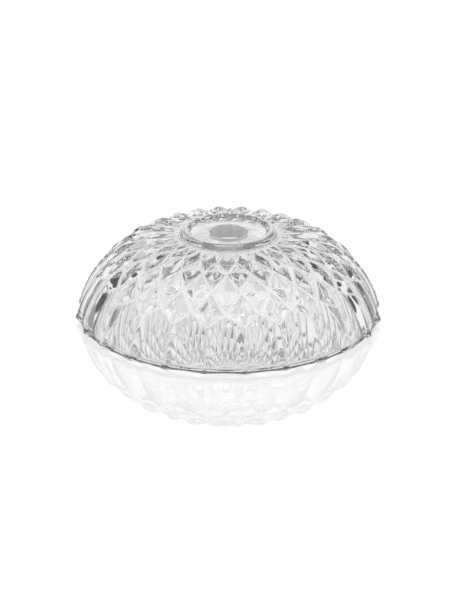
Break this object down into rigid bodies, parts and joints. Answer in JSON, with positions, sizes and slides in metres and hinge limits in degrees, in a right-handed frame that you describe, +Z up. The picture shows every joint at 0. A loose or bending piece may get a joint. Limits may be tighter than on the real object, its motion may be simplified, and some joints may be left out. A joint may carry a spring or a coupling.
{
  "type": "glass dome flower frog",
  "caption": "Clear pressed-glass dome with cut-glass diamonds, a fluted scalloped rim and a round hole through its crown that holds flower stems over a bowl.",
  "frame": {"origin": "centre of the rim's flat underside, which the dome stands on", "axes": "+Z up along the dome's axis, through the hole; -Y passes through a corner of the scalloped rim, and so do +X, +Y and -X"},
  "size_m": [0.15, 0.15, 0.0437],
  "materials": {
    "clear_glass": "clear, fire-polished"
  },
  "bodies": {
    "root": {"glass_dome": "clear_glass"}
  },
  "joints": []
}
